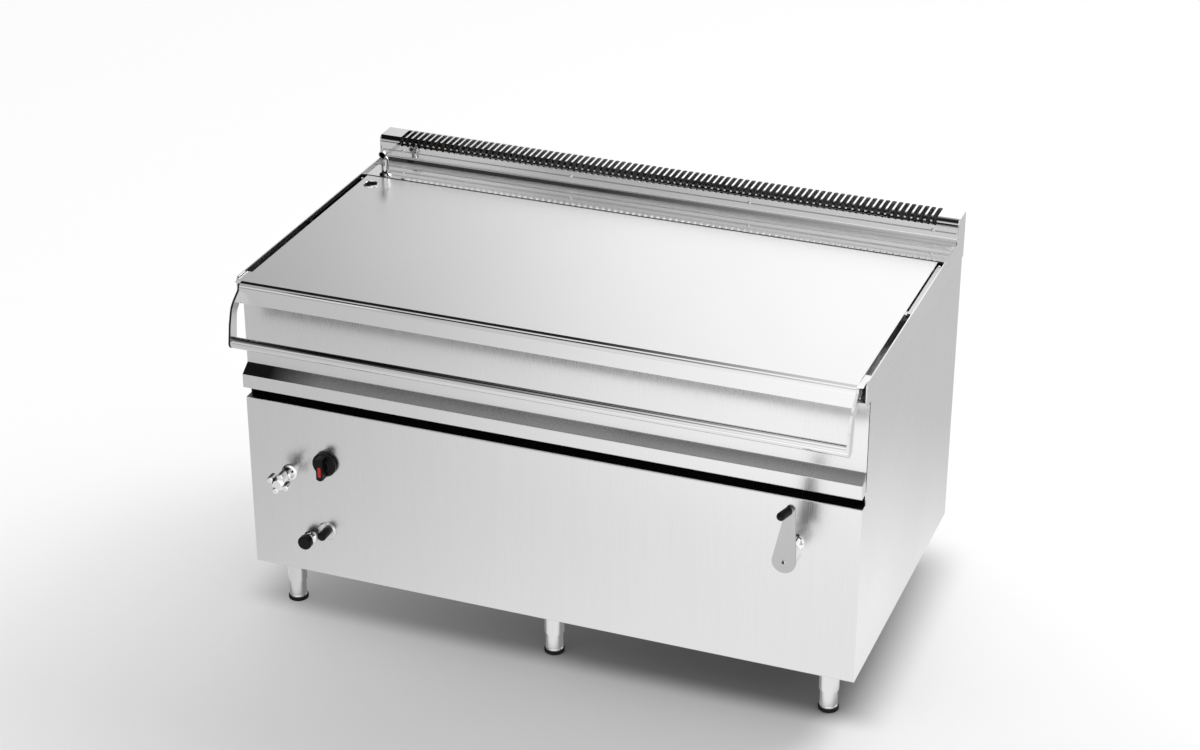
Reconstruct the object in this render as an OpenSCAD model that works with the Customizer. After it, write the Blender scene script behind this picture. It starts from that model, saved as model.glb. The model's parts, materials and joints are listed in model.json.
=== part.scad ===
// Tilting bratt pan for a catering kitchen, gas heated, tilted by a hand crank.
// X runs across the front, Y from front to back, Z up. The origin is on the floor
// under the middle of the whole machine. Sizes are in millimetres.

/* [Cabinet] */
// Overall width
body_w = 1600; // [1500:10:1700]
// Depth from the front panel's face to the back of the riser
body_d = 886; // [870:1:920]
// How far the back of the panels lies in front of the riser's back
back_in = 12; // [10:1:24]
// Floor to the underside of the panels
leg_h = 131; // [120:1:160]
// Height of the lower front panel
front_h = 477; // [470:1:500]
// Depth of the polished ledge over the lower front panel
ledge_d = 42; // [38:1:46]
// Height of the upstand behind the ledge
upstand_h = 28; // [20:1:28]
// Depth of the front panel's side returns
return_d = 26; // [26:1:30]
// Width of the side panels' flanges
flange_w = 16; // [14:1:18]
// Thickness of the panel sheet
sheet_t = 2; // [1.5:0.5:2.5]
// Bending radius of the sheet
bend_r = 4; // [3.5:0.5:5]
// Gap left between pieces that stand next to each other
seat_gap = 0.3; // [0.2:0.1:0.5]
// Radial play of a shaft in its bush
run_gap = 0.05; // [0.03:0.01:0.08]

/* [Front of the pan] */
// Height of the running groove between ledge and nose
groove_h = 31; // [29:1:36]
// Height of the nose
nose_h = 38; // [36:1:42]
// How far the nose stands in front of the front panel
nose_out = 12; // [10:1:14]
// Height of the bevel over the nose
bevel_h = 21; // [18:1:26]
// How far the upper face lies behind the front panel
face_back = 18; // [16:1:20]
// Height of the upper face
face_h = 180; // [170:1:190]
// Running gap between the upper face and the rails over it
rail_seam = 2; // [1.5:0.5:4]

/* [Tilting] */
// Pivot behind the nose's front
pivot_back = 20; // [19:1:22]
// Pivot above the nose's underside
pivot_rise = 9; // [8:1:11]
// Radius of the pivot pins
pivot_r = 8; // [7:0.5:8.5]
// Wall of the pivot bushes
pivot_bush_t = 3; // [2:0.5:3]
// Wall of the bearing block round the bush
pivot_block_t = 4.5; // [3:0.5:5]
// Tilting range in degrees
tilt_max = 70; // [60:1:70]

/* [Tilting drive] */
// Gear module
gear_m = 5; // [5:0.25:5.5]
// Teeth of the pinion
pinion_n = 14; // [13:1:15]
// Teeth that the sector would have as a full wheel
wheel_n = 120; // [118:1:122]
// Width of the sector's teeth
sector_t = 12; // [8:1:14]
// Width of the pinion's teeth
pinion_t = 18; // [16:1:20]
// Angle of the line from the pivot to the pinion below level
mesh_drop = 8; // [7:1:9]
// Backlash at the pitch circle
backlash = 0.5; // [0.3:0.1:0.8]
// Middle of the sector from the cabinet's side
sector_side = 94; // [92:1:96]
// Radius of the crank shaft
crank_shaft_r = 10; // [9:0.5:11]
// Crank axis from the cabinet's right side
crank_side = 157; // [154:1:160]
// Height of the crank axis above the floor
crank_z = 489; // [484:1:492]

/* [Crank] */
// Front face of the crank arm in front of the panel
crank_out = 97; // [92:1:98]
// Thickness of the crank arm
crank_t = 5; // [4:0.5:7]
// Radius of the arm's large end
crank_big_r = 29; // [26:1:32]
// Radius of the arm's small end
crank_small_r = 11; // [9:1:13]
// Length of the arm between its centres
crank_l = 144; // [134:1:146]
// Lean of the arm from upright at rest
crank_lean = 5; // [0:1:10]
// Radius of the black grip
grip_r = 10.5; // [9:0.5:11]
// Distance from the arm to the centre of the grip's round end
grip_l = 40; // [34:1:40]
// Sideways lean of the grip
grip_lean = 16; // [0:1:18]

/* [Tub] */
// Side clearance from the cabinet's outside to the tub
tub_side = 40; // [40:1:44]
// Front wall of the tub behind the front panel's face
tub_front = 60; // [56:1:70]
// Rear wall of the tub in front of the lid's rear edge
tub_in = 36; // [32:1:60]
// Wall of the tub
tub_t = 3; // [2:0.5:4]
// Depth of the tub under its rim
tub_h = 204; // [190:1:206]
// Inner corner radius of the tub
tub_r = 45; // [30:1:60]
// Thickness of the heated base plate
base_t = 12; // [10:1:15]
// Width of the rim flange
rim_w = 6; // [5:0.5:6]
// Width of the pouring lip where it leaves the tub
lip_w = 300; // [240:10:360]

/* [Lid] */
// Gap between the lid and the cabinet's outside
lid_side = 20; // [20:1:22]
// How far the lid reaches in front of the front panel
lid_over = 36; // [34:1:38]
// Rear edge of the lid in front of the riser's face
cove_d = 122; // [120:1:128]
// Lid top under the top of the rails
lid_drop = 3; // [1:0.5:5]
// Depth of the lid's front skirt
skirt_front = 53; // [46:1:56]
// Depth of the lid's side skirts
skirt_side = 30; // [26:1:34]
// Outer radius of the lid's front bend
lid_bend_r = 16; // [12:1:18]
// Thickness of the rubber buffers between lid and rim
buffer_h = 4; // [3:0.5:5]
// Lid hinge in front of the lid's rear edge
hinge_in = 20; // [18:1:21]
// Lid hinge under the lid's top
hinge_drop = 18; // [17:1:19]
// Radius of the hinge pins
hinge_r = 5; // [4:0.5:5]
// Radius of the fill hole
fill_r = 16; // [14:1:18]
// Stiffening ribs under the lid
rib_n = 3; // [2:1:4]
// Width of a rib
rib_w = 44; // [30:1:60]
// Depth of a rib
rib_h = 22; // [14:1:24]
// Ends of the ribs inside the tub's sides
rib_end = 50; // [40:1:80]

/* [Handle] */
// Radius of the handle's cross bar
bar_r = 14; // [12:0.5:14]
// Cross bar in front of the front panel
bar_out = 80; // [78:1:82]
// Cross bar under the lid's top
bar_drop = 140; // [134:1:142]
// Thickness of the handle's arms
arm_t = 6; // [5:0.5:8]

/* [Rails and riser] */
// Height of the side rails
rail_h = 63; // [62:1:66]
// Thickness of the side rails
rail_t = 3; // [2:0.5:4]
// How far the rails reach in front of the front panel
rail_out = 11; // [8:1:14]
// Radius of the rails' front corner
rail_end_r = 10; // [6:1:14]
// Radius of the hollow corner between rail and riser
rail_corner_r = 8; // [5:1:12]
// Front edge of the cove behind the lid
cove_gap = 10; // [9:1:14]
// Depth of the riser
riser_d = 68; // [66:1:76]
// Height of the riser above the rails
riser_h = 61; // [56:1:66]
// Radius of the riser's front edge
nosing_r = 12; // [9:1:14]
// Number of slots in the grille
slot_n = 87; // [80:1:89]
// Width of a slot
slot_w = 12; // [8:0.5:12.5]
// Length of the slots on top
slot_l = 53; // [40:1:54]
// Solid end of the grille outside the slots
grille_end = 55; // [46:1:70]

/* [Controls] */
// Gas knob from the cabinet's left side
gas_side = 213; // [210:1:216]
// Gas knob above the floor
gas_up = 459; // [456:1:462]
// Radius of the gas knob's skirt
gas_r = 32; // [28:1:34]
// Front of the gas knob's fin in front of the panel
gas_out = 38; // [32:1:44]
// Water tap from the cabinet's left side
tap_side = 110; // [107:1:113]
// Water tap above the floor
tap_up = 414; // [411:1:417]
// Radius of the tap handle
tap_r = 31; // [28:1:34]
// Tap handle's face in front of the panel
tap_out = 72; // [66:1:76]
// Igniter from the cabinet's left side
igniter_side = 158; // [155:1:161]
// Igniter above the floor
igniter_up = 234; // [231:1:237]
// Radius of the igniter's button
igniter_r = 18.5; // [17:0.5:21]
// Pilot push from the cabinet's left side
pilot_side = 207; // [204:1:210]
// Pilot push above the floor
pilot_up = 262; // [259:1:265]
// Radius of the pilot push
pilot_r = 11.5; // [10:0.5:13]
// How far both push controls stand in front of the panel
push_out = 38; // [34:1:42]
// Travel of both push controls
push_travel = 6; // [4:0.5:6]

/* [Water spout] */
// Spout from the cabinet's left side
spout_side = 59; // [55:1:70]
// Spout behind the cove's front edge
spout_in = 19; // [18:1:22]
// Outer radius of the spout tube
spout_r = 10; // [8:0.5:10]
// Wall of the spout tube
spout_t = 2; // [1:0.5:3]
// Bending radius of the spout
spout_bend = 20; // [16:1:20]
// Height of the spout's mouth above the cove
spout_h = 64; // [54:1:68]

/* [Feet and frame] */
// Legs from the cabinet's side
leg_side = 78; // [70:1:100]
// Front legs behind the front panel's face
leg_front = 68; // [60:1:80]
// Rear legs in front of the panels' back
leg_back = 74; // [64:1:114]
// Radius of the leg tube
leg_r = 25; // [22:0.5:28]
// Radius of the adjusting foot
foot_r = 22; // [19:0.5:24]
// Length of the foot that shows under the tube
foot_show = 58; // [40:1:70]
// Height of the rubber pad
pad_h = 10; // [8:1:12]
// Side of the frame's square tube
frame_s = 40; // [36:1:44]
// Wall of the frame's tube
frame_t = 3; // [2:0.5:4]
// Radius of the gas inlet
gas_inlet_r = 13.2; // [10:0.1:14]
// Radius of the water inlet
water_inlet_r = 10.5; // [8:0.1:11]
// Length of both inlets behind the rear panel
inlet_l = 26; // [20:1:32]

/* [Burners] */
// Number of burners
burner_n = 4; // [3:1:4]
// Distance between burners
burner_pitch = 270; // [240:1:290]
// Radius of a burner tube
burner_r = 22; // [18:1:24]

/* [Hidden] */

half_w = body_w / 2;
side_d = body_d - back_in;
riser_back = body_d - riser_d;
lid_back = riser_back - cove_d;
leg_x = half_w - leg_side;
leg_rear = side_d - leg_back;
sector_x = half_w - sector_side;
crank_x = half_w - crank_side;
spout_x = half_w - spout_side;
gas_at = [gas_side - half_w, gas_up];
tap_at = [tap_side - half_w, tap_up];
igniter_at = [igniter_side - half_w, igniter_up];
pilot_at = [pilot_side - half_w, pilot_up];
front_top = leg_h + front_h;
nose_z = front_top + groove_h;
nose_top = nose_z + nose_h;
bevel_top = nose_top + bevel_h;
face_top = bevel_top + face_h;
rail_z = face_top + rail_seam;
rail_top = rail_z + rail_h;
riser_top = rail_top + riser_h;
lid_top = rail_top - lid_drop;
front_reach = crank_out + grip_l * cos(grip_lean) + grip_r;
mid_y = (side_d + inlet_l - front_reach) / 2;

pivot_y = pivot_back - nose_out;
pivot_z = nose_z + pivot_rise;
bush_r = pivot_r + pivot_bush_t;
block_r = bush_r + pivot_block_t;
side_in = half_w - sheet_t;
flange_in = half_w - flange_w;

tub_half = half_w - tub_side;
tub_back = lid_back - tub_in;
tub_l = tub_back - tub_front;
rim_z = lid_top - sheet_t - buffer_h;
tub_z = rim_z - tub_h;
base_z = tub_z - base_t;
ear_t = 6;
ear_out = tub_half + ear_t;
bracket_t = 8;
bracket_out = ear_out + bracket_t;
end_zone = ear_out + seat_gap;
block_in = ear_out + 3;
rail_in = half_w - rail_t;

wheel_r = gear_m * wheel_n / 2;
pinion_pr = gear_m * pinion_n / 2;
centre_l = wheel_r + pinion_pr;
pinion_y = pivot_y + centre_l * cos(mesh_drop);
pinion_z = pivot_z - centre_l * sin(mesh_drop);
pressure = 25;
tooth_up = 0.9 * gear_m;
tooth_down = 1.25 * gear_m;
pinion_shaft_r = 12;
gearbox_x = sector_x - pinion_t / 2 - 6;
gearbox_w = 90;
gearbox_r = 48;
gearbox_nose = 22;
gearbox_z = crank_z - 49;

hinge_y = lid_back - hinge_in;
hinge_z = lid_top - hinge_drop;
lid_half = half_w - lid_side;
arm_in = lid_half + 4;
arm_out = rail_in - 2;
bar_z = lid_top - bar_drop;
cove_y = lid_back + cove_gap;
cove_z = lid_top - 4;
spout_y = cove_y + spout_in;
face_y = face_back;

valve_hole_r = 8;
tap_hole_r = 13;
igniter_hole_r = 13;
pilot_hole_r = 17;
crank_hole_r = crank_shaft_r + 6;
collar_r = spout_r + 3;
gas_inlet_z = 200;
water_inlet_z = 340;
rail_s = 30;
cradle_z = base_z - 28;
rail_y = tub_front + 30;
rest_y = tub_back - 40;
rest_x = half_w - 160;
post_top = front_top - 8;
duct_half = half_w - 200;
duct_front = riser_back + sheet_t + 5;
shield_top = cradle_z - 14;
shield_z = shield_top - 130;
burner_z = shield_z + 54;

// Direction and normal helpers for folded sheet
function unit(v) = v / norm(v);
function left_of(v) = [-v[1], v[0]];
function turn(v, a) = [v[0] * cos(a) - v[1] * sin(a), v[0] * sin(a) + v[1] * cos(a)];

// Points of one rounded corner b between a and c
function corner(a, b, c, r, n) =
    let(u = unit(a - b), w = unit(c - b), half = acos(u * w) / 2,
        mid = b + unit(u + w) * r / sin(half), from = b + u * r / tan(half) - mid,
        side = cross(from, b + w * r / tan(half) - mid) > 0 ? 1 : -1, sweep = 180 - 2 * half)
    [for (i = [0:n]) mid + turn(from, side * sweep * i / n)];

// Open path with every inner corner rounded
function rounded(path, r, n = 4) =
    [path[0],
     for (i = [1:len(path) - 2]) each corner(path[i - 1], path[i], path[i + 1], r, n),
     path[len(path) - 1]];

// Path moved sideways to its left
function shifted(path, d) =
    [for (i = [0:len(path) - 1])
        let(a = i == 0 ? path[1] - path[0] : path[i] - path[i - 1],
            b = i == len(path) - 1 ? a : path[i + 1] - path[i],
            m = left_of(unit(a)), k = left_of(unit(b)))
        path[i] + (m + k) / (1 + m * k) * d];

// Folded sheet whose visible face is the path and whose body lies to the path's left
module folded(path, t = sheet_t, r = bend_r) sheet(rounded(path, r), t);

module sheet(face, t = sheet_t) {
    back = shifted(face, t);
    polygon(concat(face, [for (i = [len(back) - 1:-1:0]) back[i]]));
}

module place() translate([0, -mid_y, 0]) children();

module both_sides() {
    children();
    mirror([1, 0, 0]) children();
}

// Extrudes a (y, z) outline between two places along X
module along_x(from, to) {
    translate([from, 0, 0]) rotate([90, 0, 90]) linear_extrude(height = to - from) children();
}

// Extrudes an (x, z) outline from the front place back along Y
module along_y(from, to) {
    translate([0, to, 0]) rotate([90, 0, 0]) linear_extrude(height = to - from) children();
}

module block(from, to) translate(from) cube(to - from);

module rod_x(y, z, r, from, to) translate([from, y, z]) rotate([0, 90, 0]) cylinder(r = r, h = to - from, $fn = 48);

module rod_y(x, z, r, from, to) translate([x, from, z]) rotate([-90, 0, 0]) cylinder(r = r, h = to - from, $fn = 48);

module rod_z(x, y, r, from, to) translate([x, y, from]) cylinder(r = r, h = to - from, $fn = 48);

// Turned piece on an axis that points out of the front panel: points are (radius, distance)
module turned_out(x, z, outline) {
    translate([x, 0, z]) rotate([90, 0, 0]) rotate_extrude($fn = 64) polygon(outline);
}

module round_rect(w, l, r) {
    square([w - 2 * r, l], center = true);
    square([w, l - 2 * r], center = true);
    for (x = [-1, 1], y = [-1, 1])
        translate([x * (w / 2 - r), y * (l / 2 - r)]) circle(r = r, $fn = 48);
}

// Cabinet panels

module side_panel() {
    block([side_in, return_d, leg_h], [half_w, side_d, rail_z]);
    block([flange_in, return_d, rail_z - sheet_t], [half_w, side_d, rail_z]);
    block([flange_in, return_d, leg_h], [half_w, side_d, leg_h + sheet_t]);
    block([flange_in, return_d, leg_h], [half_w, return_d + sheet_t, front_top - 20]);
    block([flange_in, side_d - sheet_t, leg_h], [half_w, side_d, rail_z]);
}

module side_panel_left() color("silver") place() mirror([1, 0, 0]) side_panel();

module side_panel_right() color("silver") place() side_panel();

module front_panel() {
    color("silver") place() difference() {
        union() {
            along_x(-half_w, half_w)
                folded([[ledge_d, front_top + upstand_h], [ledge_d, front_top], [0, front_top],
                    [0, leg_h], [return_d - 4, leg_h]]);
            both_sides() block([side_in, sheet_t, leg_h + sheet_t], [half_w, return_d, front_top - sheet_t]);
        }
        both_sides() {
            block([tub_half - 2, ledge_d - 1, front_top + 12], [half_w + 1, ledge_d + sheet_t + 1, nose_z]);
            block([side_in - seat_gap, return_d, front_top - 2 * sheet_t], [half_w + 1, ledge_d + 5, nose_z]);
        }
        rod_y(gas_at[0], gas_at[1], valve_hole_r, -1, sheet_t + 1);
        rod_y(tap_at[0], tap_at[1], tap_hole_r, -1, sheet_t + 1);
        rod_y(igniter_at[0], igniter_at[1], igniter_hole_r, -1, sheet_t + 1);
        rod_y(pilot_at[0], pilot_at[1], pilot_hole_r, -1, sheet_t + 1);
        rod_y(crank_x, crank_z, crank_hole_r, -1, sheet_t + 1);
    }
}

module rear_panel() {
    color("silver") place() difference() {
        block([-flange_in + seat_gap, side_d - sheet_t, leg_h], [flange_in - seat_gap, side_d, rail_z]);
        rod_y(gas_at[0], gas_inlet_z, 12, side_d - 5, side_d + 5);
        rod_y(tap_at[0], water_inlet_z, 9, side_d - 5, side_d + 5);
    }
}

// Frame

frame_half = side_in - 4;
frame_front = return_d + sheet_t + 1;
frame_back = side_d - sheet_t - 2;
frame_z = leg_h + sheet_t + seat_gap;
frame_top = frame_z + frame_s;
post_s = 26;
post_out = frame_half;
post_front = ledge_d + sheet_t + 2;

module frame_tube(u, v) translate([u, v]) difference() {
    square(frame_s);
    translate([frame_t, frame_t]) square(frame_s - 2 * frame_t);
}

module base_frame() {
    color("dimgray") place() {
        both_sides() along_y(frame_front, frame_back) frame_tube(frame_half - frame_s, frame_z);
        for (y = [frame_front, leg_rear - frame_s / 2, rest_y - frame_s / 2, pinion_y - frame_s / 2])
            along_x(-frame_half + frame_s + seat_gap, frame_half - frame_s - seat_gap) frame_tube(y, frame_z);
    }
}

module frame_posts() {
    color("dimgray") place() both_sides() {
        block([post_out - post_s, post_front, frame_top], [post_out, post_front + post_s, post_top]);
        block([post_out - post_s, leg_rear, frame_top], [post_out, leg_rear + post_s, rail_z - 2 * sheet_t]);
    }
}

// Rails and riser

function arc(cx, cy, r, from, to, n = 8) =
    [for (i = [0:n]) [cx + r * cos(from + (to - from) * i / n), cy + r * sin(from + (to - from) * i / n)]];

module rail_outline() {
    polygon(concat(
        [[body_d, rail_z], [body_d, riser_top]],
        arc(riser_back + nosing_r, riser_top - nosing_r, nosing_r, 90, 180),
        arc(riser_back - rail_corner_r, rail_top + rail_corner_r, rail_corner_r, 0, -90, 5),
        arc(-rail_out + rail_end_r, rail_top - rail_end_r, rail_end_r, 90, 180),
        [[-rail_out, rail_z]]));
}

module side_rail() along_x(rail_in, half_w) rail_outline();

module side_rail_left() color("silver") place() mirror([1, 0, 0]) side_rail();

module side_rail_right() color("silver") place() side_rail();

riser_seam = riser_top - 26;

module riser_face() {
    color("silver") place() difference() {
        along_x(-rail_in, rail_in)
            folded([[riser_back + sheet_t, riser_seam + 3],
                [riser_back + sheet_t, cove_z + 15], [riser_back - 8, cove_z + 14],
                [riser_back - 9, cove_z + 5], [riser_back - 36, cove_z],
                [cove_y, cove_z], [cove_y, cove_z - 22]], sheet_t, 2.5);
        rod_z(-spout_x, spout_y, collar_r, cove_z - 10, cove_z + 10);
    }
}

module riser_back_sheet() {
    color("silver") place() along_x(-rail_in, rail_in)
        folded([[side_d - sheet_t, rail_z], [body_d - sheet_t, rail_z],
            [body_d - sheet_t, riser_top - sheet_t]]);
}

slot_span = 2 * (rail_in - grille_end) - slot_w;
slot_pitch = slot_span / (slot_n - 1);

module slot_row(l) {
    for (i = [0:slot_n - 1]) translate([-slot_span / 2 + i * slot_pitch, 0]) {
        square([slot_w, l - slot_w], center = true);
        for (e = [-1, 1]) translate([0, e * (l - slot_w) / 2]) circle(d = slot_w, $fn = 16);
    }
}

module flue_grille() {
    // Each slot runs from the flat top over the nosing and a little way down the front
    reach = slot_l + nosing_r + slot_w;
    drop = riser_top - riser_seam - 4 + slot_w;
    color("silver") place() difference() {
        along_x(-rail_in, rail_in)
            sheet(concat([[body_d, riser_top - 20], [body_d, riser_top]],
                arc(riser_back + nosing_r, riser_top - nosing_r, nosing_r, 90, 180),
                [[riser_back, riser_seam]]));
        translate([0, riser_back + nosing_r + slot_l - reach / 2, riser_top - nosing_r])
            linear_extrude(height = nosing_r + 1) slot_row(reach);
        translate([0, riser_back + 5, riser_seam + 4 + drop / 2])
            rotate([90, 0, 0]) linear_extrude(height = 10) slot_row(drop);
    }
}

module riser_screws() {
    z = riser_seam - 10;
    color("gainsboro") place() both_sides() for (x = [rail_in * 0.31, rail_in * 0.92])
        translate([x, riser_back + sheet_t, z]) rotate([90, 0, 0])
            rotate_extrude($fn = 32) polygon([[0, 0], [5, 0], [5, 1], [3.6, 2.2], [0, 2.6]]);
}

module flue_duct() {
    back = side_d - sheet_t - seat_gap;
    color("darkgray") place() difference() {
        block([-duct_half, duct_front, shield_top + 8], [duct_half, back, riser_seam - 14]);
        block([-duct_half + 1.5, duct_front + 1.5, shield_top], [duct_half - 1.5, back - 1.5, riser_top]);
    }
}

// Feet

module at_legs() for (x = [-leg_x, 0, leg_x], y = [leg_front, leg_rear]) translate([x, y, 0]) children();

module leg_tubes() {
    color("silver") place() at_legs() difference() {
        union() {
            translate([0, 0, foot_show]) cylinder(r = leg_r, h = frame_z - foot_show, $fn = 48);
            translate([0, 0, frame_z - 6]) cylinder(r = leg_r + 3, h = 6, $fn = 48);
        }
        translate([0, 0, foot_show - 1]) cylinder(r = foot_r + run_gap, h = 41, $fn = 48);
    }
}

module leg_feet() {
    color("gainsboro") place() at_legs() translate([0, 0, pad_h]) rotate_extrude($fn = 48)
        polygon([[0, 0], [foot_r + 1, 0], [foot_r + 1, 3], [foot_r, 5], [foot_r, foot_show + 34 - pad_h],
            [0, foot_show + 34 - pad_h]]);
}

module foot_pads() {
    color("black") place() at_legs() rotate_extrude($fn = 48)
        polygon([[0, 0], [foot_r + 3, 0], [foot_r + 4, 1], [foot_r + 4, pad_h - 2], [foot_r + 2, pad_h], [0, pad_h]]);
}

// Pivot of the pan

module pivot_blocks() {
    color("dimgray") place() both_sides() difference() {
        along_x(block_in, post_out) difference() {
            union() {
                translate([pivot_y, pivot_z]) circle(r = block_r, $fn = 64);
                polygon([[pivot_y, pivot_z - block_r], [post_front - 5, post_top + 24],
                    [post_front, post_top + 24], [post_front, post_top],
                    [post_front + post_s, post_top], [post_front + post_s, pivot_z - 8],
                    [pivot_y + block_r + 6, pivot_z + 11], [pivot_y, pivot_z + block_r]]);
            }
            translate([pivot_y, pivot_z]) circle(r = bush_r + run_gap, $fn = 64);
        }
    }
}

module pivot_bushes() {
    color("peru") place() both_sides() along_x(block_in, post_out) difference() {
        translate([pivot_y, pivot_z]) circle(r = bush_r, $fn = 64);
        translate([pivot_y, pivot_z]) circle(r = pivot_r + run_gap, $fn = 64);
    }
}

module pivot_pins() {
    color("lightgray") place() both_sides() {
        rod_x(pivot_y, pivot_z, pivot_r, tub_half - seat_gap, post_out);
        rod_x(pivot_y, pivot_z, pivot_r + 5, tub_half - 8, tub_half - seat_gap);
    }
}

module rest_posts() {
    color("dimgray") place() both_sides()
        block([rest_x - 15, rest_y - 15, frame_top], [rest_x + 15, rest_y + 15, cradle_z - 10]);
}

module rest_pads() {
    color("black") place() both_sides() rod_z(rest_x, rest_y, 14, cradle_z - 10, cradle_z - seat_gap);
}

// Tilting drive

function inv(a) = tan(a) * 180 / PI - a;

// Half of the angle that a tooth fills at radius r, in degrees
function tooth_half(pitch_r, r) =
    let(base = pitch_r * cos(pressure), s = (PI * gear_m / 2 - backlash / 2) / pitch_r * 90 / PI)
    s + inv(pressure) - inv(acos(min(1, base / r)));

// Outline of one tooth round the angle a, between its root and its tip
function tooth(pitch_r, a, up, down, n = 5) =
    let(root = pitch_r - down, tip = pitch_r + up,
        rs = [for (i = [0:n]) max(root, pitch_r * cos(pressure)) * (1 - i / n) + tip * i / n])
    concat(
        [for (r = [root, each rs]) let(b = a - tooth_half(pitch_r, max(r, rs[0]))) [r * cos(b), r * sin(b)]],
        [for (i = [n:-1:0]) let(b = a + tooth_half(pitch_r, rs[i])) [rs[i] * cos(b), rs[i] * sin(b)]],
        [let(b = a + tooth_half(pitch_r, rs[0])) [root * cos(b), root * sin(b)]]);

module tilt_sector() {
    step = 360 / wheel_n;
    ahead = 1;
    behind = ceil(tilt_max / step) + 1;
    first = -mesh_drop - behind * step - step / 2;
    last = -mesh_drop + ahead * step + step / 2;
    rim = wheel_r - tooth_down - 34;
    low = turn([rim + 20, 0], first + 1);
    color("dimgray") place() along_x(sector_x - sector_t / 2, sector_x + sector_t / 2)
        translate([pivot_y, pivot_z]) difference() {
            union() {
                polygon(concat(
                    [for (i = [-behind:ahead]) each tooth(wheel_r, -mesh_drop + i * step, tooth_up, tooth_down)],
                    arc(0, 0, rim, last, first, 24)));
                polygon([turn([rim + 4, 0], last), turn([wheel_r - tooth_down, 0], last - 1),
                    [wheel_r - 12, base_z - pivot_z], [rail_y + 34 - pivot_y, base_z - pivot_z],
                    [rail_y + 34 - pivot_y, cradle_z - pivot_z], [rail_y - pivot_y, cradle_z - pivot_z],
                    [rail_y - pivot_y + 6, cradle_z - pivot_z - 26], turn([rim + 4, 0], last - 9)]);
                polygon([low + [-6, 0], low + [20, 6], [rail_y - pivot_y + 52, cradle_z - pivot_z - 20],
                    [rail_y - pivot_y + 12, cradle_z - pivot_z - 10]]);
            }
            for (a = [first + 12:15:last - 12]) translate(turn([rim + 16, 0], a)) circle(r = 9, $fn = 32);
        }
}

module pinion() {
    start = 180 - mesh_drop + 180 / pinion_n;
    color("gray") place() {
        along_x(sector_x - pinion_t / 2, sector_x + pinion_t / 2) translate([pinion_y, pinion_z])
            polygon([for (i = [0:pinion_n - 1])
                each tooth(pinion_pr, start + i * 360 / pinion_n, tooth_up, tooth_down)]);
        rod_x(pinion_y, pinion_z, pinion_shaft_r, gearbox_x - 40, sector_x - pinion_t / 2);
        rod_x(pinion_y, pinion_z, pinion_shaft_r, sector_x + pinion_t / 2, sector_x + pinion_t / 2 + 5);
    }
}

module gearbox() {
    left = gearbox_x - gearbox_w;
    nose = pinion_y - gearbox_r - gearbox_nose;
    color("darkslategray") place() difference() {
        union() {
            block([left, pinion_y - gearbox_r, gearbox_z], [gearbox_x, pinion_y + gearbox_r, pinion_z]);
            rod_x(pinion_y, pinion_z, gearbox_r, left, gearbox_x);
            rod_x(pinion_y, pinion_z, pinion_shaft_r + 10, gearbox_x, gearbox_x + 4);
            rod_y(crank_x, crank_z, crank_shaft_r + 14, nose, pinion_y - gearbox_r);
            for (x = [left + 14, gearbox_x - 14])
                block([x - 10, nose, gearbox_z], [x + 10, pinion_y + gearbox_r + 14, gearbox_z + 8]);
        }
        rod_x(pinion_y, pinion_z, pinion_shaft_r + run_gap, gearbox_x - 41, gearbox_x + 5);
        rod_y(crank_x, crank_z, crank_shaft_r + run_gap, nose - 1, pinion_y + 1);
    }
}

module gearbox_stand() {
    mid = gearbox_x - gearbox_w / 2;
    deep = gearbox_r + 12;
    color("dimgray") place() {
        block([mid - 40, pinion_y - deep, gearbox_z - 6], [mid + 40, pinion_y + deep, gearbox_z]);
        block([mid - 20, pinion_y - 20, frame_top], [mid + 20, pinion_y + 20, gearbox_z - 6]);
    }
}

module crank_bush() {
    color("gainsboro") place() turned_out(crank_x, crank_z,
        [[crank_shaft_r + run_gap, -16], [crank_hole_r - 0.5, -16], [crank_hole_r - 0.5, 0],
         [crank_hole_r + 5, 0], [crank_hole_r + 5, 4], [crank_hole_r + 3, 6], [crank_shaft_r + run_gap, 6]]);
}

module crank_shaft() {
    boss = crank_out - crank_t;
    color("lightgray") place() turned_out(crank_x, crank_z,
        [[0, -pinion_y], [crank_shaft_r, -pinion_y], [crank_shaft_r, boss - 47],
         [crank_big_r - 4, boss - 47], [crank_big_r - 1, boss - 44], [crank_big_r - 1, boss], [0, boss]]);
}

// Arm outline: two round ends joined by their common tangents
module arm_outline(big, small, l) {
    a = asin((big - small) / l);
    circle(r = big, $fn = 64);
    translate([0, l]) circle(r = small, $fn = 48);
    polygon([big * [cos(a), sin(a)], [small * cos(a), l + small * sin(a)],
        [-small * cos(a), l + small * sin(a)], big * [-cos(a), sin(a)]]);
}

module at_crank() translate([crank_x, 0, crank_z]) rotate([0, crank_lean, 0]) children();

// Grip axis, from the arm's face outwards
module on_grip() at_crank() translate([0, -crank_out, crank_l]) rotate([0, -crank_lean, 0])
    rotate([0, 0, -grip_lean]) rotate([90, 0, 0]) children();

module crank_arm() {
    color("silver") place() {
        at_crank() along_y(-crank_out, -crank_out + crank_t) arm_outline(crank_big_r, crank_small_r, crank_l);
        on_grip() translate([0, 0, -2]) cylinder(r = 6, h = 6.6, $fn = 32);
        on_grip() translate([0, 0, 1]) cylinder(r = 4, h = grip_l - 4, $fn = 32);
    }
}

module crank_screw() {
    color("gray") place() turned_out(crank_x, crank_z,
        [[0, crank_out], [5, crank_out], [5, crank_out + 1.2], [3.5, crank_out + 2.4], [0, crank_out + 2.4]]);
}

module crank_grip() {
    color("black") place() on_grip() difference() {
        rotate_extrude($fn = 48) polygon(concat([[0, 5], [grip_r - 2, 5], [grip_r, 8], [grip_r, grip_l]],
            arc(0, grip_l, grip_r, 0, 90, 8)));
        translate([0, 0, 4]) cylinder(r = 4 + run_gap, h = grip_l - 6, $fn = 32);
    }
}

// Controls on the front panel

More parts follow.
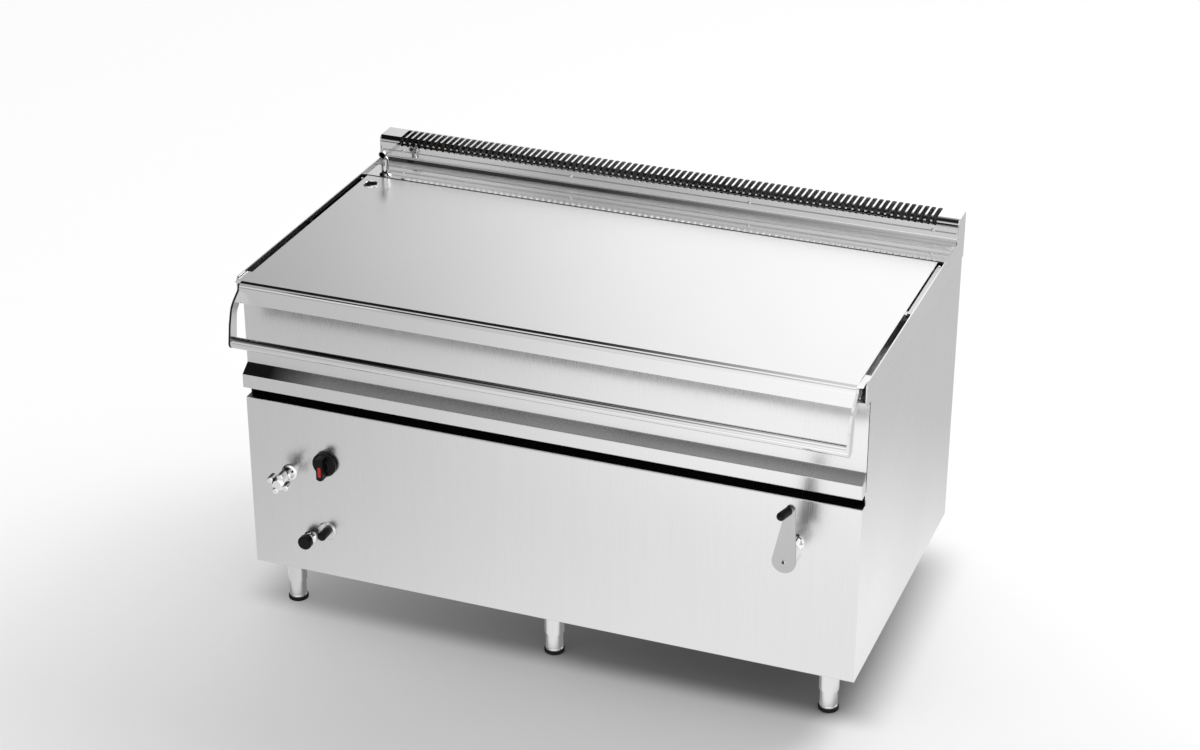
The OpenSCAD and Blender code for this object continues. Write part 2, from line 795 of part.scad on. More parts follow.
module gas_valve() {
    color("tan") place() difference() {
        union() {
            block([gas_at[0] - 22, 10, gas_at[1] - 24], [gas_at[0] + 22, 82, gas_at[1] + 24]);
            rod_y(gas_at[0], gas_at[1], 14, sheet_t + seat_gap, 10);
        }
        rod_y(gas_at[0], gas_at[1], 5 + run_gap, sheet_t, 40);
    }
}

module gas_knob() {
    skirt = 14;
    wide = 9;
    color("black") place() {
        turned_out(gas_at[0], gas_at[1],
            [[0, -36], [5, -36], [5, 1.5], [gas_r - 2, 1.5], [gas_r, 3.5], [gas_r, skirt - 3],
             [gas_r - 3, skirt], [wide + 8, skirt + 2], [wide + 6, skirt + 5], [0, skirt + 5]]);
        translate([gas_at[0], 0, gas_at[1]]) along_y(-gas_out, -skirt + 4) difference() {
            union() {
                circle(r = gas_r - 2, $fn = 64);
                translate([0, -gas_r + 9]) circle(r = wide, $fn = 48);
            }
            for (e = [-1, 1]) translate([e * (gas_r + wide), 0]) square([2 * gas_r, 3 * gas_r], center = true);
        }
    }
}

module tap_bonnet() {
    color("gainsboro") place() difference() {
        union() {
            turned_out(tap_at[0], tap_at[1],
                [[0, -12], [tap_hole_r - 0.3, -12], [tap_hole_r - 0.3, 0], [21, 0], [21, 3], [16, 6], [13, 12],
                 [13, 22], [10, 25], [10, tap_out - 36], [0, tap_out - 36]]);
            block([tap_at[0] - 20, 12, tap_at[1] - 18], [tap_at[0] + 20, 60, tap_at[1] + 18]);
        }
        rod_y(tap_at[0], tap_at[1], 5 + run_gap, -tap_out, 14);
    }
}

module tap_handle() {
    color("gainsboro") place() {
        turned_out(tap_at[0], tap_at[1],
            [[0, -10], [5, -10], [5, tap_out - 34], [12, tap_out - 34], [17, tap_out - 29], [18, tap_out - 5],
             [14, tap_out - 2], [11, tap_out], [0, tap_out]]);
        for (a = [20:90:290]) translate([tap_at[0], 0, tap_at[1]]) rotate([0, a, 0]) {
            along_y(-tap_out + 4, -tap_out + 26) {
                translate([0, tap_r - 9]) circle(r = 9, $fn = 48);
                translate([-6, 0]) square([12, tap_r - 10]);
            }
            translate([0, -tap_out + 4.5, tap_r - 9]) rotate([90, 0, 0])
                rotate_extrude($fn = 48) polygon(concat([[0, 0], [8.5, 0]], arc(5.5, 0, 3, 0, 80, 4), [[0, 3]]));
        }
    }
}

module igniter_body() {
    color("gainsboro") place() difference() {
        turned_out(igniter_at[0], igniter_at[1],
            [[0, -50], [12, -50], [12, -9], [18, -9], [18, -2.3], [igniter_hole_r - 0.3, -2.3],
             [igniter_hole_r - 0.3, 0], [17, 0], [17, 2], [14, 5], [12, 6], [12, 11], [0, 11]]);
        rod_y(igniter_at[0], igniter_at[1], 8 + run_gap, -12, 44);
    }
}

module igniter_button() {
    neck = push_out - 18;
    color("black") place() turned_out(igniter_at[0], igniter_at[1],
        concat([[0, -34], [8, -34], [8, neck], [igniter_r - 1, neck], [igniter_r, neck + 1.5]],
            arc(igniter_r - 5, push_out - 5, 5, 0, 75, 5), [[0, push_out]]));
}

module pilot_switch() {
    color("gainsboro") place() difference() {
        turned_out(pilot_at[0], pilot_at[1],
            [[0, -50], [16, -50], [16, -10], [23, -10], [23, -2.3], [pilot_hole_r - 0.3, -2.3],
             [pilot_hole_r - 0.3, 0], [25, 0], [25, 2], [22, 5], [0, 5]]);
        rod_y(pilot_at[0], pilot_at[1], pilot_r + run_gap, -7, 44);
    }
}

module pilot_push() {
    color("black") place() turned_out(pilot_at[0], pilot_at[1],
        concat([[0, -34], [pilot_r, -34]],
            arc(pilot_r - 7, push_out - 7, 7, 0, 80, 6), [[0, push_out]]));
}

// Gas

module burners() {
    color("slategray") place()
        for (i = [0:burner_n - 1]) let(x = (i - (burner_n - 1) / 2) * burner_pitch) difference() {
            union() {
                rod_y(x, burner_z, burner_r, tub_front + 76, tub_back - 70);
                rod_y(x, burner_z, 14, tub_front + 46, tub_front + 76);
                for (y = [tub_front + 96, tub_back - 110])
                    block([x - 12, y, shield_z + 1.5], [x + 12, y + 20, burner_z]);
            }
            rod_y(x, burner_z, 9, tub_front + 45, tub_front + 110);
            for (e = [-7, 7])
                block([x + e - 1.5, tub_front + 120, burner_z + 10], [x + e + 1.5, tub_back - 80, burner_z + burner_r + 1]);
        }
}

pipe_y = ledge_d + 24;

module gas_manifold() {
    reach = (burner_n - 1) / 2 * burner_pitch;
    color("goldenrod") place() {
        rod_x(pipe_y, burner_z, 12, gas_at[0] - 14, reach + 30);
        rod_z(gas_at[0], pipe_y, 11, gas_at[1] + 24 + seat_gap, burner_z);
        for (i = [0:burner_n - 1])
            rod_y((i - (burner_n - 1) / 2) * burner_pitch, burner_z, 5, pipe_y, tub_front + 45 - seat_gap);
    }
}

module gas_pipe() {
    color("goldenrod") place() {
        rod_z(gas_at[0], pipe_y, 11, gas_inlet_z, gas_at[1] - 24 - seat_gap);
        translate([gas_at[0], pipe_y, gas_inlet_z]) sphere(r = 11, $fn = 48);
        rod_y(gas_at[0], gas_inlet_z, 11, pipe_y, side_d + seat_gap);
        rod_y(gas_at[0], gas_inlet_z, gas_inlet_r, side_d + seat_gap, side_d + inlet_l);
    }
}

module heat_shield() {
    front = tub_front + 38;
    back = tub_back - 20;
    shield_post = duct_half - 60;
    color("darkgray") place() {
        difference() {
            block([-duct_half + 30, front, shield_z], [duct_half - 30, back, shield_top]);
            block([-duct_half + 31.5, front + 1.5, shield_z + 1.5], [duct_half - 31.5, back - 1.5, shield_top + 1]);
            for (i = [0:burner_n - 1])
                rod_y((i - (burner_n - 1) / 2) * burner_pitch, burner_z, 7, front - 1, front + 3);
        }
        for (x = [-1, 1], y = [pinion_y, rest_y])
            block([x * shield_post - 10, y - 10, frame_top], [x * shield_post + 10, y + 10, shield_z]);
    }
}

// Water

module water_pipe() {
    x = tap_at[0];
    y = 40;
    high = tap_at[1] + 56;
    color("peru") place() {
        rod_z(x, y, 8, water_inlet_z, tap_at[1] - 18 - seat_gap);
        translate([x, y, water_inlet_z]) sphere(r = 8, $fn = 48);
        rod_y(x, water_inlet_z, 8, y, side_d + seat_gap);
        rod_y(x, water_inlet_z, water_inlet_r, side_d + seat_gap, side_d + inlet_l);
        rod_z(x, y, 8, tap_at[1] + 18 + seat_gap, high);
        translate([x, y, high]) sphere(r = 8, $fn = 48);
        rod_y(x, high, 8, y, spout_y);
        translate([x, spout_y, high]) sphere(r = 8, $fn = 48);
        rod_x(spout_y, high, 8, -spout_x, x);
        translate([-spout_x, spout_y, high]) sphere(r = 8, $fn = 48);
        rod_z(-spout_x, spout_y, 8, high, cove_z - 24 - seat_gap);
    }
}

module spout_collar() {
    color("gainsboro") place() translate([-spout_x, spout_y, cove_z]) rotate_extrude($fn = 64)
        polygon([[6, -24], [collar_r - 0.2, -24], [collar_r - 0.2, 0], [collar_r + 4, 0], [collar_r + 4, 2],
            [spout_r + 2, 6], [spout_r + run_gap, 6], [spout_r + run_gap, -18], [6, -18]]);
}

module spout() {
    rise = cove_z + spout_h - spout_bend;
    color("gainsboro") place() translate([-spout_x, spout_y, 0]) difference() {
        union() {
            translate([0, 0, cove_z - 17]) cylinder(r = spout_r, h = rise - cove_z + 17, $fn = 48);
            translate([0, -spout_bend, rise]) rotate([0, -90, 0]) rotate([0, 0, 0])
                rotate_extrude(angle = 90, $fn = 64) translate([spout_bend, 0]) circle(r = spout_r, $fn = 48);
        }
        translate([0, 0, cove_z - 18]) cylinder(r = spout_r - spout_t, h = rise - cove_z + 18, $fn = 48);
        translate([0, -spout_bend, rise]) rotate([0, -90, 0])
            rotate_extrude(angle = 90, $fn = 64) translate([spout_bend, 0]) circle(r = spout_r - spout_t, $fn = 48);
    }
}

// Pan

module pan_front_panel() {
    inner = nose_out - sheet_t;
    color("silver") place() difference() {
        union() {
            along_x(-half_w, half_w)
                folded([[tub_front - 12, face_top], [face_y, face_top], [face_y, bevel_top], [-nose_out, nose_top],
                    [-nose_out, nose_z], [ledge_d - 2, nose_z]]);
            both_sides() along_x(side_in, half_w)
                polygon([[-inner, nose_z + 2], [-inner, nose_top - 1], [face_y + 1, bevel_top],
                    [face_y + sheet_t, face_top - 6], [face_y + sheet_t, nose_z + 2]]);
        }
        both_sides() {
            block([tub_half - 10, -inner + 2, nose_z - 1], [side_in, ledge_d, nose_z + sheet_t + 0.5]);
            block([flange_in - 2, face_y + sheet_t, nose_z - 1], [half_w + 1, tub_front, face_top + 1]);
        }
    }
}

module pan_tub() {
    mid = (tub_front + tub_back) / 2;
    color("silver") place() difference() {
        union() {
            translate([0, mid, tub_z]) linear_extrude(height = rim_z - tub_z) round_rect(2 * tub_half, tub_l, tub_r + tub_t);
            translate([0, mid, rim_z - 3]) linear_extrude(height = 3)
                round_rect(2 * (tub_half + rim_w), tub_l + 24, tub_r + 12);
        }
        translate([0, mid, tub_z + tub_t]) linear_extrude(height = tub_h)
            round_rect(2 * (tub_half - tub_t), tub_l - 2 * tub_t, tub_r);
        block([-lip_w / 2 + tub_t, tub_front - 20, lip_z + tub_t], [lip_w / 2 - tub_t, tub_front + tub_t + 1, rim_z + 1]);
    }
}

lip_z = face_top + 6;
lip_end = -lid_over + sheet_t + 8;

module pouring_lip() {
    wide = lip_w / 2;
    tip = wide * 0.78;
    color("silver") place() difference() {
        translate([0, 0, lip_z]) linear_extrude(height = rim_z - 3 - seat_gap - lip_z)
            polygon([[-wide, tub_front], [-tip, lip_end], [tip, lip_end], [wide, tub_front]]);
        translate([0, 0, lip_z + tub_t]) linear_extrude(height = 80)
            polygon([[-wide + tub_t, tub_front + 1], [-tip + tub_t, lip_end - 1], [tip - tub_t, lip_end - 1],
                [wide - tub_t, tub_front + 1]]);
    }
}

module base_plate() {
    color("dimgray") place()
        block([-tub_half + 20, tub_front + 20, base_z], [tub_half - 20, tub_back - 20, tub_z]);
}

module pan_cradle() {
    boss = pivot_r + 9;
    top = tub_z + 30;
    color("darkgray") place() {
        both_sides() along_x(tub_half, ear_out) difference() {
            union() {
                translate([pivot_y, pivot_z]) circle(r = boss, $fn = 64);
                polygon([[pivot_y - 12, pivot_z + 12], [face_y + sheet_t, bevel_top - 12], [face_y + sheet_t, top],
                    [tub_back - 20, top], [tub_back - 20, cradle_z - 6], [rail_y + 20, cradle_z - 6],
                    [pivot_y + 18, pivot_z - 12], [pivot_y + 2, pivot_z - boss]]);
            }
            translate([pivot_y, pivot_z]) circle(r = pivot_r + run_gap, $fn = 64);
        }
        for (y = [rail_y, rest_y - rail_s / 2])
            block([-tub_half + seat_gap, y, cradle_z], [tub_half - seat_gap, y + rail_s, base_z]);
    }
}

module hinge_brackets() {
    boss = hinge_r + 8;
    color("darkgray") place() both_sides() along_x(ear_out, bracket_out) difference() {
        union() {
            translate([hinge_y, hinge_z]) circle(r = boss, $fn = 48);
            polygon([[hinge_y - boss, hinge_z], [hinge_y - boss - 60, tub_z + 30], [hinge_y - boss - 60, tub_z - 20],
                [tub_back - 22, tub_z - 20], [tub_back + 4, tub_z + 30], [hinge_y + boss, hinge_z - 10],
                [hinge_y + boss, hinge_z]]);
        }
        translate([hinge_y, hinge_z]) circle(r = hinge_r + run_gap, $fn = 48);
    }
}

module hinge_pins() {
    color("lightgray") place() both_sides() rod_x(hinge_y, hinge_z, hinge_r, ear_out, arm_out + 1);
}

// Lid

fill_at = [spout_x + 4, lid_back - 54];

module lid() {
    bottom = lid_top - skirt_front;
    side = lid_top - skirt_side;
    bend = arc(-lid_over + lid_bend_r, lid_top - lid_bend_r, lid_bend_r, 90, 180);
    color("silver") place() difference() {
        union() {
            along_x(-lid_half, lid_half)
                sheet(concat([[lid_back, lid_top]], bend, [[-lid_over, bottom], [-lid_over + 9, bottom]]));
            both_sides() along_x(lid_half - sheet_t, lid_half)
                polygon(concat([[hinge_y - 36, side], [hinge_y - 36, lid_top]], bend,
                    [[-lid_over, bottom], [-lid_over + 24, bottom], [-lid_over + 40, side]]));
        }
        rod_z(-fill_at[0], fill_at[1], fill_r + 2, lid_top - 5, lid_top + 1);
    }
}

module lid_ribs() {
    top = lid_top - sheet_t;
    gap = (tub_l - rib_n * rib_w) / (rib_n + 1);
    color("silver") place() for (i = [0:rib_n - 1]) let(y = tub_front + gap + i * (gap + rib_w))
        along_x(-tub_half + rib_end, tub_half - rib_end)
            sheet([[y, top], [y, top - rib_h], [y + rib_w, top - rib_h], [y + rib_w, top]], 1.5);
}

module lid_buffers() {
    color("black") place() both_sides() for (y = [tub_front - 6, tub_back + 6])
        rod_z(tub_half - 150, y, 5, rim_z + seat_gap, lid_top - sheet_t);
}

module lid_arms() {
    front = 385;
    color("silver") place() both_sides() difference() {
        union() {
            along_x(arm_in, arm_out) {
                translate([front, hinge_z - 4]) square([hinge_y - front, 18]);
                translate([hinge_y, hinge_z]) circle(r = 12, $fn = 48);
            }
            block([lid_half, front, hinge_z - 4], [arm_in, front + 20, hinge_z + 12]);
        }
        rod_x(hinge_y, hinge_z, hinge_r + run_gap, arm_in - 1, arm_out + 1);
    }
}

module fill_ring() {
    color("gainsboro") place() translate([-fill_at[0], fill_at[1], lid_top]) rotate_extrude($fn = 64)
        polygon([[fill_r, -4], [fill_r + 1.7, -4], [fill_r + 1.7, 0], [fill_r + 5, 0], [fill_r + 4.4, 1.4],
            [fill_r + 1, 2.4], [fill_r, 1.6]]);
}

// Bent plate at each end of the bar: a front edge, a rear edge and a round eye
module handle_arm() {
    front = -bar_out;
    ahead = [[-lid_over + 34, lid_top - 2], [-lid_over + 5, lid_top - 2], [-lid_over + 3, lid_top - 18],
        [front + 19, lid_top - 37], [front + 5, lid_top - 50], [front - 8, lid_top - 90], [front - 16, bar_z + 2]];
    behind = [[front + 17, bar_z + 2], [front + 26, lid_top - 68], [-lid_over + 1, lid_top - 48],
        [-lid_over + 34, lid_top - 30]];
    bends = [6, 8, 40, 40, 40];
    along_x(lid_half, lid_half + arm_t) union() {
        polygon(concat(
            [ahead[0]],
            [for (i = [1:5]) each corner(ahead[i - 1], ahead[i], ahead[i + 1], bends[i - 1], 4)],
            [ahead[6]], rounded(behind, 24, 4)));
        translate([front + 0.5, bar_z + 2]) circle(r = 16.5, $fn = 48);
    }
}

module handle_arm_left() color("silver") place() mirror([1, 0, 0]) handle_arm();

module handle_arm_right() color("silver") place() handle_arm();

module handle_bar() color("gainsboro") place() rod_x(-bar_out, bar_z, bar_r, -lid_half, lid_half);

side_panel_left();
side_panel_right();
front_panel();
rear_panel();
base_frame();
frame_posts();
side_rail_left();
side_rail_right();
riser_face();
riser_back_sheet();
flue_grille();
riser_screws();
flue_duct();
leg_tubes();
leg_feet();
foot_pads();
pivot_blocks();
pivot_bushes();
rest_posts();
rest_pads();
gearbox();
gearbox_stand();
crank_bush();
heat_shield();
burners();
gas_manifold();
gas_valve();
gas_pipe();
tap_bonnet();
water_pipe();
spout_collar();
igniter_body();
pilot_switch();
pan_front_panel();
pan_tub();
pouring_lip();
base_plate();
pan_cradle();
pivot_pins();
tilt_sector();
hinge_brackets();
hinge_pins();
lid();
lid_ribs();
lid_buffers();
lid_arms();
fill_ring();
handle_arm_left();
handle_arm_right();
handle_bar();
crank_shaft();
crank_arm();
crank_screw();
crank_grip();
pinion();
gas_knob();
tap_handle();
spout();
igniter_button();
pilot_push();
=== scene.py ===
# Tilting bratt pan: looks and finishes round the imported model
import bpy, bmesh, json, math
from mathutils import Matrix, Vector


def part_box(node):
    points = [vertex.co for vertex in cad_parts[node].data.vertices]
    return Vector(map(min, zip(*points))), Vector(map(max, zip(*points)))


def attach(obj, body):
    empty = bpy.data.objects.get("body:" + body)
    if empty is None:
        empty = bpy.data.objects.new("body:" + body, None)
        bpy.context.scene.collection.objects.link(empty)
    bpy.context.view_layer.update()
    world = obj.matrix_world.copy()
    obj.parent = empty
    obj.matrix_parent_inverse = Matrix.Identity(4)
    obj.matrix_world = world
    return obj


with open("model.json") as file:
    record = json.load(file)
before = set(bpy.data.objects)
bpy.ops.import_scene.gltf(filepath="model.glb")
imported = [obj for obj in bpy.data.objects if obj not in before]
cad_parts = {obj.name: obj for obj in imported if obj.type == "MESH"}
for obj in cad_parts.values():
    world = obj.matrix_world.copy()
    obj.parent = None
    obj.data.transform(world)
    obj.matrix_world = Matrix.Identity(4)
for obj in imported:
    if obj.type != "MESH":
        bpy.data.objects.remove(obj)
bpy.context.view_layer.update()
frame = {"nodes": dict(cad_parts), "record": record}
nodes = frame["nodes"]
mm = 0.001
xAxis, yAxis, zAxis = range(3)


# Camera at the photograph's angle

camera = {
    "lens": 80, "sensor": 36,
    "place": (2.1517, -5.6016, 3.6849),
    "yaw": 20.97, "pitch": -26.94,    # degrees, to the left and down
    "clipEnd": 60,
}


def makeCamera():
    data = bpy.data.cameras.new("camera")
    data.lens, data.sensor_width, data.clip_end = camera["lens"], camera["sensor"], camera["clipEnd"]
    eye = bpy.data.objects.new("camera", data)
    bpy.context.scene.collection.objects.link(eye)
    eye.location = camera["place"]
    eye.rotation_euler = (math.radians(90 + camera["pitch"]), 0, math.radians(camera["yaw"]))
    bpy.context.scene.camera = eye


makeCamera()
print("camera ready")


# Short calls for shader nodes

class Graph:
    # The nodes of one tree, with short calls that are fed numbers or sockets
    def __init__(self, tree):
        self.tree = tree
        self.coord = None

    def node(self, kind, **props):
        made = self.tree.nodes.new(kind)
        for name, value in props.items():
            setattr(made, name, value)
        return made

    def link(self, start, end):
        self.tree.links.new(start, end)

    def feed(self, socket, value):
        if isinstance(value, (int, float)):
            socket.default_value = value
        else:
            self.link(value, socket)

    def where(self, output):
        if self.coord is None:
            self.coord = self.node("ShaderNodeTexCoord")
        return self.coord.outputs[output]

    def axes(self, output):
        split = self.node("ShaderNodeSeparateXYZ")
        self.link(self.where(output), split.inputs[0])
        return list(split.outputs)

    def maths(self, how, a, b):
        made = self.node("ShaderNodeMath", operation=how)
        self.feed(made.inputs[0], a)
        self.feed(made.inputs[1], b)
        return made.outputs["Value"]

    def add(self, a, b):
        return self.maths("ADD", a, b)

    def times(self, first, *others):
        for other in others:
            first = self.maths("MULTIPLY", first, other)
        return first

    def ramp(self, value, low, high, start=0.3, end=0.7, kind="LINEAR"):
        # From low at start to high at end; most of a noise lies between 0.3 and 0.7
        made = self.node("ShaderNodeMapRange", interpolation_type=kind)
        for socket, number in (("From Min", start), ("From Max", end), ("To Min", low), ("To Max", high)):
            made.inputs[socket].default_value = number
        self.link(value, made.inputs["Value"])
        return made.outputs["Result"]

    def ease(self, value, start, end, low=0, high=1):
        return self.ramp(value, low, high, start, end, "SMOOTHSTEP")

    def rim(self, value, outside, inside):
        # 0 outside and 1 inside, on either side of a middle
        if outside < inside:
            return self.ease(value, outside, inside)
        return self.ease(value, inside, outside, 1, 0)

    def mix(self, share, a, b):
        made = self.node("ShaderNodeMix")
        self.link(share, made.inputs["Factor"])
        self.feed(made.inputs["A"], a)
        self.feed(made.inputs["B"], b)
        return made.outputs["Result"]


class Shader(Graph):
    # A material with its principled shader
    def __init__(self, name, **fixed):
        self.mat = bpy.data.materials.new(name)
        self.mat.use_nodes = True
        super().__init__(self.mat.node_tree)
        self.bsdf = self.tree.nodes["Principled BSDF"]
        for socket, value in fixed.items():
            self.bsdf.inputs[socket.replace("_", " ")].default_value = value

    def noise(self, size, detail=2, rough=0.5, stretch=(1, 1, 1)):
        spread = self.node("ShaderNodeMapping")
        spread.inputs["Scale"].default_value = stretch
        self.link(self.where("Object"), spread.inputs["Vector"])
        made = self.node("ShaderNodeTexNoise")
        made.inputs["Scale"].default_value = size
        made.inputs["Detail"].default_value = detail
        made.inputs["Roughness"].default_value = rough
        self.link(spread.outputs["Vector"], made.inputs["Vector"])
        return made.outputs["Fac"]

    def tint(self, share, low, high, start=0.3, end=0.7):
        made = self.node("ShaderNodeValToRGB")
        for stop, place, colour in zip(made.color_ramp.elements, (start, end), (low, high)):
            stop.position, stop.color = place, (*colour, 1)
        self.link(share, made.inputs["Fac"])
        return made.outputs["Color"]

    def within(self, names):
        # 1 inside all the named limits and 0 outside
        places = self.axes("Object")
        mask = 1.0
        for axis, low, high, soft in (limits[name] for name in names):
            above = self.ramp(places[axis], 0, 1, low - soft, low + soft)
            below = self.ramp(places[axis], 1, 0, high - soft, high + soft)
            mask = self.times(mask, self.times(above, below))
        return mask

    def blend(self, mask, plain, marked):
        # Numbers: plain where the mask is 0 and marked where it is 1
        return self.add(self.times(self.maths("SUBTRACT", 1.0, mask), plain), self.times(mask, marked))

    def paint(self, mask, plain, marked):
        # Colours: the same, where the marked one is fixed; the sockets have numbers, as names repeat here
        made = self.node("ShaderNodeMix", data_type="RGBA")
        self.link(mask, made.inputs["Factor"])
        self.link(plain, made.inputs[6])
        made.inputs[7].default_value = (*marked, 1)
        return made.outputs[2]

    def bump(self, height, strength, distance):
        made = self.node("ShaderNodeBump")
        self.feed(made.inputs["Strength"], strength)
        made.inputs["Distance"].default_value = distance
        self.link(height, made.inputs["Height"])
        self.link(made.outputs["Normal"], self.bsdf.inputs["Normal"])


def grey(level, warm=0.0):
    return (level * (1 + warm), level, level * (1 - warm))


# Where painted reflections, painted shade and painted highlights go on bends and edges

def span(name, low, high, axis, soft=0.1):
    # Limits along one axis in mm from the low corner of a node's box, with a soft edge
    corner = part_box(name)[0][axis]
    return axis, corner + low * mm, corner + high * mm, soft * mm


def crossways(low, high, soft=0.0001):
    # Limits from left to right in metres from the middle of the machine
    return xAxis, low, high, soft


# The arm's narrow edges get a painted dark reflection
armSkin = 0.3 * mm    # the arm's broad faces stay bright, and only its narrow edges are dark
armLow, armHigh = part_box("handle_arm_left")
limits = {
    "ledge": span("front_panel", 476.5, 600, zAxis),
    "ledgeDeep": span("front_panel", 478.5, 600, zAxis),
    "ledgeBack": span("front_panel", 1.5, 600, yAxis),
    "bevel": span("pan_front_panel", 37.8, 59.5, zAxis),
    "bevelLeft": crossways(-1.0, -0.66, 0.07),
    "barTop": span("handle_bar", 23.5, 30, zAxis, 0.8),
    "barLeft": crossways(-1.0, 0.1, 0.45),
    "lidFront": span("lid", -1, 17, yAxis),
    "lidTop": span("lid", 36, 54, zAxis),
    "lidBack": span("lid", 729.2, 740, yAxis),
    "coveEdge": span("riser_face", -1, 3.2, yAxis),
    "slope": span("riser_face", 22.2, 26.8, zAxis),
    "step": span("riser_face", 26.8, 35.8, zAxis),
    "stepRight": crossways(0.35, 1.2, 0.5),
    "nosing": span("flue_grille", -1, 13, yAxis),
    "nosingBand": span("flue_grille", 17, 25.5, zAxis, 1.5),
    "nosingLine": span("flue_grille", 10.6, 13.2, zAxis, 0.6),
    "hingeLeft": crossways(-1.0, 0.0),
    "armEdges": crossways(armLow.x + armSkin, armHigh.x - armSkin),
}


# Finishes

steel = {
    "colour": 0.63, "swing": 0.016,                        # swing is how far the brush lines vary
    "roughness": 0.27, "smoother": 0.03, "rougher": 0.04,  # with how far it wanders either way
    "polish": 0.06,                                        # roughness of a polished bend
    "lineSize": 520, "lineLength": 6.0, "lineShare": 0.75,
    "bandSize": 60, "bandLength": 0.03, "cloudSize": 2.2,
    "bumpDepth": 0.0004, "bendBump": 0.01,
}


def brushedSteel(name, along, colour=steel["colour"], roughness=steel["roughness"], swing=steel["swing"],
                 bump=0.10, polish=steel["polish"], wander=1.0, edge=1.0, bright=(), paintedLight=()):
    # along is the axis that the brush marks follow, and edge how bright it is at a low angle
    # bright names the limits of a polished bend, and the last argument pairs a colour with the limits that
    # it fills, to paint dark reflections, shade and highlights into the colour
    # wander is how much of the usual change in roughness is left
    s = Shader(name, Metallic=1.0, Specular_Tint=(*grey(edge), 1))
    lineStretch, bandStretch = [1.0, 1.0, 1.0], [1.0, 1.0, 1.0]
    lineStretch[along] = steel["lineLength"] / steel["lineSize"]
    bandStretch[along] = steel["bandLength"]
    fine = s.noise(steel["lineSize"], detail=3, rough=0.6, stretch=lineStretch)
    broad = s.noise(steel["bandSize"], stretch=bandStretch)
    cloud = s.noise(steel["cloudSize"], detail=3)
    lines = s.add(s.times(fine, steel["lineShare"]), s.times(broad, 1 - steel["lineShare"]))
    tone = s.tint(lines, grey(colour - swing), grey(colour + swing))
    less, more = steel["smoother"] * wander, steel["rougher"] * wander
    rough = s.add(s.ramp(lines, -less, more), s.ramp(cloud, roughness - less, roughness + more))
    if bright:
        mask = s.within(bright)
        rough, bump = s.blend(mask, rough, polish), s.blend(mask, bump, steel["bendBump"])
    # Paint the listed reflections, shade and highlights into the brush tone
    for level, names in paintedLight:
        tone = s.paint(s.within(names), tone, grey(level))
    s.link(tone, s.bsdf.inputs["Base Color"])
    s.link(rough, s.bsdf.inputs["Roughness"])
    s.bump(fine, bump, steel["bumpDepth"])
    return s.mat


shine = {
    "cloudSize": 30, "dull": 0.97, "smoother": 0.7, "rougher": 1.5,
    # The painted dark reflection on one side of chrome: its colour, and how squarely that side is met
    "paintedDark": 0.03, "paintedDarkFrom": 0.40, "paintedDarkTo": 0.62,    # its colour, and how squarely it is met
}


def polished(name, colour, roughness, paintedDark=None):
    # The side given last, as a direction on the piece, gets a painted dark reflection in its colour
    s = Shader(name, Metallic=1.0)
    cloud = s.noise(shine["cloudSize"], detail=3, rough=0.6)
    tone = s.tint(cloud, grey(colour * shine["dull"]), grey(colour))
    if paintedDark:
        facing = s.node("ShaderNodeVectorMath", operation="DOT_PRODUCT")
        facing.inputs[1].default_value = paintedDark
        s.link(s.where("Normal"), facing.inputs[0])
        mask = s.ramp(facing.outputs["Value"], 0, 1, shine["paintedDarkFrom"], shine["paintedDarkTo"])
        tone = s.paint(mask, tone, grey(shine["paintedDark"]))
    rough = s.ramp(cloud, roughness * shine["smoother"], roughness * shine["rougher"])
    s.link(tone, s.bsdf.inputs["Base Color"])
    s.link(rough, s.bsdf.inputs["Roughness"])
    return s.mat


cast = {"smoother": 0.06, "rougher": 0.08, "bumpDepth": 0.0006}


def plainMetal(name, low, high, roughness, size=90, metallic=1.0, bump=0.2):
    s = Shader(name, Metallic=metallic)
    grain = s.noise(size, detail=4, rough=0.6)
    rough = s.ramp(grain, roughness - cast["smoother"], roughness + cast["rougher"])
    s.link(s.tint(grain, low, high), s.bsdf.inputs["Base Color"])
    s.link(rough, s.bsdf.inputs["Roughness"])
    s.bump(grain, bump, cast["bumpDepth"])
    return s.mat


mould = {
    "cloudSize": 25, "lighter": 1.35, "smoother": 0.04, "rougher": 0.06,
    "bump": 0.12, "bumpDepth": 0.0002,
}


def moulded(name, colour, roughness, size=900, gloss=0.25):
    s = Shader(name, Specular_IOR_Level=gloss)
    grain = s.noise(size)
    cloud = s.noise(mould["cloudSize"])
    lighter = [c * mould["lighter"] for c in colour]
    rough = s.ramp(grain, roughness - mould["smoother"], roughness + mould["rougher"])
    s.link(s.tint(cloud, colour, lighter), s.bsdf.inputs["Base Color"])
    s.link(rough, s.bsdf.inputs["Roughness"])
    s.bump(grain, mould["bump"], mould["bumpDepth"])
    return s.mat


